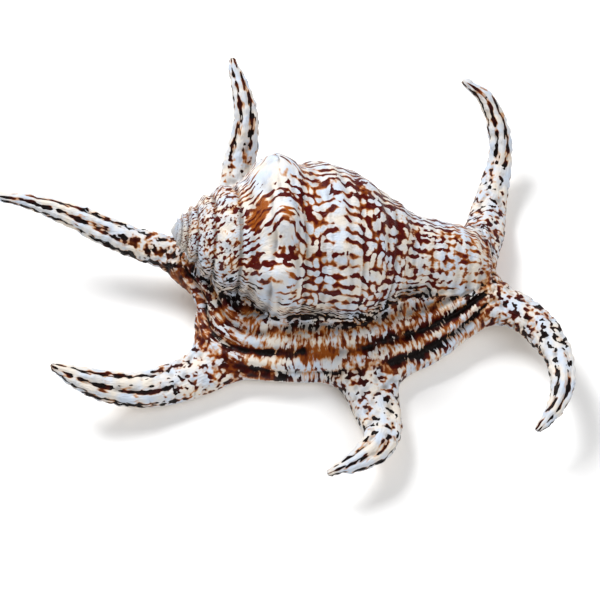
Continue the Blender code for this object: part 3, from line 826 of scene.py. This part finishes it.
def coil_place(places):
    """Millimetres along and around the coil. On the spire they shrink with the whorls."""
    near_apex = SHOULDER * (1.0 + np.log(np.maximum(places.back, 0.5) / SHOULDER))
    along = np.where(places.back < SHOULDER, near_apex, places.back)
    around = (places.turn - BACK_TURN) * read_table(COIL_GIRTH, places.back)
    around = around + ROWS_OVER_KNOBS * places.knob + ROWS_LEAN * np.minimum(along - SHOULDER, 0.0)
    return along, around


def add_layer(mesh, name, *columns):
    """Three named values on every point of the mesh, kept as a vector."""
    layer = mesh.attributes.new(name, "FLOAT_VECTOR", "POINT")
    layer.data.foreach_set("vector", np.stack(columns, 1).astype(float).ravel())


def mark_skin(mesh, places):
    """Stores where each point lies and how it is coloured, for the material to read."""
    normals = read_vectors(mesh, "normal")
    hollow = hollowness(mesh, normals)
    cover, orange, black, underside = markings(places, hollow, normals)
    none = np.zeros_like(cover)
    add_layer(mesh, "coil_place", *coil_place(places), none)
    add_layer(mesh, "lip_place", places.lip_along, places.lip_across, none)
    around = places.finger_angle * places.finger_half
    add_layer(mesh, "finger_place", places.finger_along, around, places.finger_angle)
    add_layer(mesh, "lies_on", places.on_coil, places.on_lip, places.on_finger)
    add_layer(mesh, "marking", cover, orange, black)
    ovals = read_table(COIL_OVALS, places.back) * smoothstep(*OVALS_BEGIN, places.turn)
    add_layer(mesh, "pattern", ovals, np.maximum(places.behind, 0.8 * places.seam), places.striping)
    fine = smoothstep(*FINE_BEGINS, places.turn) * (places.back > LAST_SUTURE)
    add_layer(mesh, "spacing", read_table(COIL_WIDE, places.back), fine, np.maximum(places.wrap, underside))
    waviness = SPOTTED + (DASHED - SPOTTED) * smoothstep(*DASHES_BEGIN, places.back)
    # Its second value greys the bare white: dusty in the grooves, and painted shade there and in the seam.
    add_layer(mesh, "bareness", underside, hollow + 0.3 * places.seam * (1.0 - places.behind), waviness)
    flush = smoothstep(*FLUSH_FADES, places.mouth_gap) * underside
    add_layer(mesh, "mouth", places.in_mouth, flush, smoothstep(*THROAT_FADES, places.points[:, 2]))


def linear(hex_colour):
    """An sRGB hex colour as the linear values that a shader takes."""
    parts = [int(hex_colour[k : k + 2], 16) / 255 for k in (1, 3, 5)]
    return tuple(c / 12.92 if c <= 0.04045 else ((c + 0.055) / 1.055) ** 2.4 for c in parts) + (1.0,)


def add(tree, kind, feeds, **settings):
    """Adds a node, sets it up, feeds its sockets with values or links, and gives its outputs."""
    node = tree.nodes.new("ShaderNode" + kind)
    for name, value in settings.items():
        setattr(node, name, value)
    for name, value in feeds.items():
        if isinstance(value, bpy.types.NodeSocket):
            tree.links.new(value, node.inputs[name])
        else:
            node.inputs[name].default_value = value
    return node.outputs


def coil_field(tree, place, ovals, pitch, cell, wave_share):
    """Wavy dashes along the coil, pitch millimetres apart, that open into rows of white ovals.
    They wander in waves of about nine millimetres, and zigzag once a pitch along the coil."""
    drift = add(tree, "TexNoise", {"Vector": place, "Scale": ROW_WAVES, "Detail": 1.0})["Color"]
    drift = add(tree, "VectorMath", {0: drift, 1: (0.5, 0.5, 0.5)}, operation="SUBTRACT")[0]
    bent = add(tree, "VectorMath", {0: drift, 1: ROW_WANDER, 2: place}, operation="MULTIPLY_ADD")[0]
    along = add(tree, "SeparateXYZ", {0: place})[0]
    around = add(tree, "SeparateXYZ", {0: bent})[1]
    zigzag = add(tree, "Math", {0: along, 1: 0.5 * pitch}, operation="PINGPONG")[0]
    around = add(tree, "Math", {0: zigzag, 1: ROW_ZIGZAG, 2: around}, operation="MULTIPLY_ADD")[0]
    turn = add(tree, "Math", {0: around, 1: 2 * math.pi / pitch}, operation="MULTIPLY")[0]
    wave = add(tree, "Math", {0: turn}, operation="SINE")[0]
    breaks_scale = (COIL_BREAKS[0] / pitch, COIL_BREAKS[1] / pitch, 0.0)
    breaks_at = add(tree, "VectorMath", {0: place, 1: breaks_scale}, operation="MULTIPLY")[0]
    breaks = add(tree, "TexNoise", {"Vector": breaks_at, "Scale": 1.0})[0]
    dashes = add(tree, "Math", {0: wave, 1: wave_share, 2: breaks}, operation="MULTIPLY_ADD")[0]
    cell_scale = (cell[0] / pitch, cell[1] / pitch, 0.0)
    oval_at = add(tree, "VectorMath", {0: bent, 1: cell_scale}, operation="MULTIPLY")[0]
    ovals_in_rows = {"Vector": oval_at, "Scale": 1.0, "Randomness": 0.5}
    cells = add(tree, "TexVoronoi", ovals_in_rows, voronoi_dimensions="2D")[0]
    cells = add(tree, "Math", {0: cells, 1: -0.9, 2: 0.9}, operation="MULTIPLY_ADD")[0]
    torn = add(tree, "Math", {0: breaks, 1: 0.5}, operation="SUBTRACT")[0]
    cells = add(tree, "Math", {0: torn, 1: 0.9, 2: cells}, operation="MULTIPLY_ADD")[0]
    return add(tree, "Mix", {0: ovals, 2: dashes, 3: cells})[0]


def lip_field(tree, place, turned):
    """Comb-like streaks a millimetre wide across the lip, that run along it where they are turned."""
    across_at = add(tree, "VectorMath", {0: place, 1: LIP_STREAKS}, operation="MULTIPLY")[0]
    along_at = add(tree, "VectorMath", {0: place, 1: LIP_STREAKS_TURNED}, operation="MULTIPLY")[0]
    streaks = add(tree, "TexNoise", {"Vector": across_at, "Scale": 1.0})[0]
    lengthwise = add(tree, "TexNoise", {"Vector": along_at, "Scale": 1.0})[0]
    streaks = add(tree, "Mix", {0: turned, 2: streaks, 3: lengthwise})[0]
    clumps_at = add(tree, "VectorMath", {0: place, 1: LIP_CLUMPS}, operation="MULTIPLY")[0]
    clumps = add(tree, "TexNoise", {"Vector": clumps_at, "Scale": 1.0, "Detail": 1.0})[0]
    return add(tree, "Mix", {0: CLUMP_SHARE, 2: streaks, 3: clumps})[0]


def finger_field(tree, place, turn, striping, wrap):
    """Round flecks on the fingers that draw together into stripes between the ribs towards the tips."""
    object_at = add(tree, "TexCoord", {})["Object"]
    spots = add(tree, "TexNoise", {"Vector": object_at, "Scale": 1 / (FLECK * MM), "Detail": 1.0})[0]
    long_at = add(tree, "VectorMath", {0: place, 1: FINGER_DASHES}, operation="MULTIPLY")[0]
    dashes = add(tree, "TexNoise", {"Vector": long_at, "Scale": 1.0, "Detail": 1.0})[0]
    matched = add(tree, "Math", {0: 1.0, 1: wrap}, operation="SUBTRACT")[0]
    lengthwise = add(tree, "Math", {0: striping, 1: matched}, operation="MULTIPLY")[0]
    flecks = add(tree, "Mix", {0: lengthwise, 2: spots, 3: dashes})[0]
    turns = add(tree, "Math", {0: turn, 1: float(RIBS_ROUND)}, operation="MULTIPLY")[0]
    ribs = add(tree, "Math", {0: turns}, operation="COSINE")[0]
    weight = add(tree, "MapRange", {"Value": striping, "To Min": 0.03, "To Max": 0.15})[0]
    return add(tree, "Math", {0: ribs, 1: weight, 2: flecks}, operation="MULTIPLY_ADD")[0]


def brown_pigment(tree, depth, orange, black):
    """Burnt orange where the pigment is thin, maroon where it is thick, and near black where its black share
    is high. The near black is real on the finger tips and in the lip's bands, and painted shade in the
    grooves, the seam, along the fingers' sides and on the coil's low side.
    """
    object_at = add(tree, "TexCoord", {})["Object"]
    patch_scale = 1 / (PIGMENT_PATCH * MM)
    patches = add(tree, "TexNoise", {"Vector": object_at, "Scale": patch_scale, "Detail": 1.0})[0]
    heat = add(tree, "Math", {0: patches, 1: 1.6, 2: orange}, operation="MULTIPLY_ADD")[0]
    heat = add(tree, "Math", {0: depth, 1: -3.0, 2: heat}, operation="MULTIPLY_ADD")[0]
    heat = add(tree, "MapRange", {"Value": heat, "From Min": 0.72, "From Max": 1.3})[0]
    brown = add(tree, "Mix", {0: heat, 6: linear(MAROON), 7: linear(BURNT_ORANGE)}, data_type="RGBA")[2]
    night = add(tree, "Math", {0: patches, 1: -1.6, 2: black}, operation="MULTIPLY_ADD")[0]
    night = add(tree, "MapRange", {"Value": night, "From Min": -0.5, "From Max": 0.0})[0]
    brown = add(tree, "Mix", {0: night, 6: brown, 7: linear(NEAR_BLACK)}, data_type="RGBA")[2]
    edge = add(tree, "MapRange", {"Value": heat, "To Min": 0.02, "To Max": 0.06})[0]
    ink = add(tree, "MapRange", {"Value": depth, "From Max": edge}, interpolation_type="SMOOTHSTEP")[0]
    just_past = {"Value": depth, "From Min": -0.08, "From Max": 0.01}
    halo = add(tree, "MapRange", just_past, interpolation_type="SMOOTHSTEP")[0]
    fringe = add(tree, "Math", {0: orange, 1: 0.12, 2: patches}, operation="MULTIPLY_ADD")[0]
    warm = add(tree, "MapRange", {"Value": fringe, "From Min": 0.40, "From Max": 0.6, "To Max": 0.8})[0]
    wash = add(tree, "Math", {0: halo, 1: warm}, operation="MULTIPLY")[0]
    return ink, brown, wash


def bare_shell(tree, underside, hollow, in_mouth, flush, deep):
    """Bluish and creamy whites, greyed in the grooves and the seam, dusty in part and painted shade in part,
    salmon with paler ridges inside the mouth.
    """
    object_at = add(tree, "TexCoord", {})["Object"]
    cloud = add(tree, "TexNoise", {"Vector": object_at, "Scale": 1 / (CLOUD * MM), "Detail": 3.0})[0]
    tint = add(tree, "MapRange", {"Value": cloud, "From Min": 0.38, "From Max": 0.62})[0]
    white = add(tree, "Mix", {0: tint, 6: linear(CREAM_WHITE), 7: linear(BLUISH_WHITE)}, data_type="RGBA")[2]
    # Grey in the grooves and the seam, dusty in part and painted shade in part.
    dust_and_shade = add(tree, "MapRange", {"Value": hollow, "From Min": -0.1, "From Max": 0.9, "To Max": 0.8})[0]
    white = add(tree, "Mix", {0: dust_and_shade, 6: white, 7: linear(DUST_AND_SHADE_GREY)}, data_type="RGBA")[2]
    creams = {0: tint, 6: linear(CREAM_CALLUS), 7: linear(SHADED_CALLUS)}
    callus = add(tree, "Mix", creams, data_type="RGBA")[2]
    callus = add(tree, "Mix", {0: flush, 6: callus, 7: linear(SALMON_FLUSH)}, data_type="RGBA")[2]
    white = add(tree, "Mix", {0: underside, 6: white, 7: callus}, data_type="RGBA")[2]
    throat = add(tree, "Mix", {0: deep, 6: linear(THROAT_EDGE), 7: linear(THROAT_DEEP)}, data_type="RGBA")[2]
    crest = add(tree, "MapRange", {"Value": hollow, "From Min": 0.0, "From Max": -0.6, "To Max": 0.6})[0]
    throat = add(tree, "Mix", {0: crest, 6: throat, 7: linear(PALE_RIDGE)}, data_type="RGBA")[2]
    white = add(tree, "Mix", {0: in_mouth, 6: white, 7: throat}, data_type="RGBA")[2]
    return cloud, white


def shell_surface():
    """Aragonite shell, smooth from growth and washed by the sea: hard white with brown pigment in it.
    A satin gloss, with fine threads and growth lines under the light, and a chalky, dusty grey in the grooves
    that is partly painted shade."""
    material = bpy.data.materials.new("speckled_aragonite")
    material.use_nodes = True
    tree = material.node_tree
    surface = tree.nodes["Principled BSDF"]

    layers = {name: add(tree, "Attribute", {}, attribute_name=name)["Vector"] for name in SKIN_LAYERS}
    finger_turn = add(tree, "SeparateXYZ", {0: layers["finger_place"]})[2]
    shares = add(tree, "SeparateXYZ", {0: layers["lies_on"]})
    cover, orange, black = add(tree, "SeparateXYZ", {0: layers["marking"]})
    ovals, turned, striping = add(tree, "SeparateXYZ", {0: layers["pattern"]})
    wide, fine, wrap = add(tree, "SeparateXYZ", {0: layers["spacing"]})
    # The second value holds the grooves and the seam, which grey the white, dusty in part and painted shade
    # in part.
    underside, hollow, waviness = add(tree, "SeparateXYZ", {0: layers["bareness"]})
    in_mouth, flush, deep = add(tree, "SeparateXYZ", {0: layers["mouth"]})

    marks = coil_field(tree, layers["coil_place"], ovals, CLOSE_PITCH, CLOSE_CELLS, waviness)
    wide_marks = coil_field(tree, layers["coil_place"], ovals, WIDE_PITCH, WIDE_CELLS, LONG_DASHED)
    fine_marks = coil_field(tree, layers["coil_place"], 0.0, FINE_PITCH, FINE_CELLS, DASHED)
    marks = add(tree, "Mix", {0: wide, 2: marks, 3: wide_marks})[0]
    fields = (
        add(tree, "Mix", {0: fine, 2: marks, 3: fine_marks})[0],
        lip_field(tree, layers["lip_place"], turned),
        finger_field(tree, layers["finger_place"], finger_turn, striping, wrap),
    )
    field = 0.0
    for part_field, share in zip(fields, shares):
        field = add(tree, "Math", {0: part_field, 1: share, 2: field}, operation="MULTIPLY_ADD")[0]
    reach = add(tree, "MapRange", {"Value": cover, "To Min": 0.25, "To Max": 0.75}, clamp=False)[0]
    depth = add(tree, "Math", {0: reach, 1: field}, operation="SUBTRACT")[0]
    ink, brown, wash = brown_pigment(tree, depth, orange, black)
    cloud, white = bare_shell(tree, underside, hollow, in_mouth, flush, deep)
    white = add(tree, "Mix", {0: wash, 6: white, 7: linear(TAN_WASH)}, data_type="RGBA")[2]
    colour = add(tree, "Mix", {0: ink, 6: white, 7: brown}, data_type="RGBA")[2]
    tree.links.new(colour, surface.inputs["Base Color"])

    gloss = add(tree, "MapRange", {"Value": cloud, "To Min": 0.30, "To Max": 0.50})[0]
    tree.links.new(gloss, surface.inputs["Roughness"])
    surface.inputs["IOR"].default_value = 1.53
    surface.inputs["Specular IOR Level"].default_value = 0.08

    lines = 0.0
    for (name, stretch), share in zip(THREADS.items(), shares):
        at = add(tree, "VectorMath", {0: layers[name], 1: stretch}, operation="MULTIPLY")[0]
        threads = add(tree, "TexNoise", {"Vector": at, "Scale": 1.0})[0]
        lines = add(tree, "Math", {0: threads, 1: share, 2: lines}, operation="MULTIPLY_ADD")[0]
    object_at = add(tree, "TexCoord", {})["Object"]
    beneath = add(tree, "TexNoise", {"Vector": object_at, "Scale": 1 / (FLECK * MM)})[0]
    lines = add(tree, "Mix", {0: wrap, 2: lines, 3: beneath})[0]
    bumped = add(tree, "Bump", {"Strength": 0.7, "Distance": THREAD_HEIGHT * MM, "Height": lines})[0]
    tree.links.new(bumped, surface.inputs["Normal"])
    return material


def table_surface():
    """Matt white card, pressed smooth between rollers: plain and pale, with hardly a shine."""
    material = bpy.data.materials.new("white_card")
    material.use_nodes = True
    surface = material.node_tree.nodes["Principled BSDF"]
    surface.inputs["Base Color"].default_value = linear("#F7F7F7")
    surface.inputs["Roughness"].default_value = 0.9
    surface.inputs["Specular IOR Level"].default_value = 0.1
    return material


def make_shell():
    """The shell's skin in place of its solid, with its relief, its markings and its surface."""
    sweeps = {name: Sweep(stations) for name, stations in FINGERS.items()}
    sweeps["lip"] = Sweep(LIP)
    sweeps["mouth"] = Sweep(MOUTH)
    shell = fine_skin(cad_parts["conch_shell"])
    places = settle(shell.data, sweeps)
    mark_skin(shell.data, places)
    write_points(shell.data, (read_vectors(shell.data, "co") - FOOTPRINT_CENTRE) * MM)
    shell.data.materials.clear()
    shell.data.materials.append(shell_surface())
    shell.data.shade_smooth()
    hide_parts("conch_shell")
    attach(shell, "root")


def make_table():
    """A plain level ground, a hair below the shell so that their faces don't meet."""
    card = bmesh.new()
    bmesh.ops.create_grid(card, x_segments=2, y_segments=2, size=TABLE_HALF)
    bmesh.ops.translate(card, vec=(0.0, 0.0, -TABLE_GAP * MM), verts=card.verts)
    data = bpy.data.meshes.new("table")
    card.to_mesh(data)
    card.free()
    table = bpy.data.objects.new("table", data)
    bpy.context.scene.collection.objects.link(table)
    data.materials.append(table_surface())


def make_camera():
    """The camera at the photo's angle, in front of the lip and above it."""
    lens = bpy.data.cameras.new("camera")
    lens.lens = LENS
    camera = bpy.data.objects.new("camera", lens)
    bpy.context.scene.collection.objects.link(camera)
    back = np.array([0.0, -math.cos(VIEW_ELEVATION), math.sin(VIEW_ELEVATION)])
    camera.location = (VIEW_TARGET + back * VIEW_DISTANCE - FOOTPRINT_CENTRE) * MM
    camera.rotation_euler = (math.pi / 2 - VIEW_ELEVATION, 0.0, 0.0)
    bpy.context.scene.camera = camera


def add_softbox(name, place, size, power):
    """A square soft light at this place in metres, turned towards the shell."""
    light = bpy.data.lights.new(name, "AREA")
    light.shape = "SQUARE"
    light.size = size
    light.energy = power
    lamp = bpy.data.objects.new(name, light)
    bpy.context.scene.collection.objects.link(lamp)
    lamp.location = place
    lamp.rotation_euler = (Vector(LIT_POINT) - Vector(place)).to_track_quat("-Z", "Y").to_euler()


def light_scene():
    """Two soft lights and an even white sky, shown without a film curve."""
    for name, (place, size, power) in SOFTBOXES.items():
        add_softbox(name, place, size, power)
    world = bpy.data.worlds.new("studio")
    world.use_nodes = True
    sky = world.node_tree.nodes["Background"]
    sky.inputs["Color"].default_value = linear("#FFFFFF")
    sky.inputs["Strength"].default_value = SKY_STRENGTH
    bpy.context.scene.world = world
    bpy.context.scene.view_settings.view_transform = "Standard"


make_camera()
make_shell()
make_table()
light_scene()
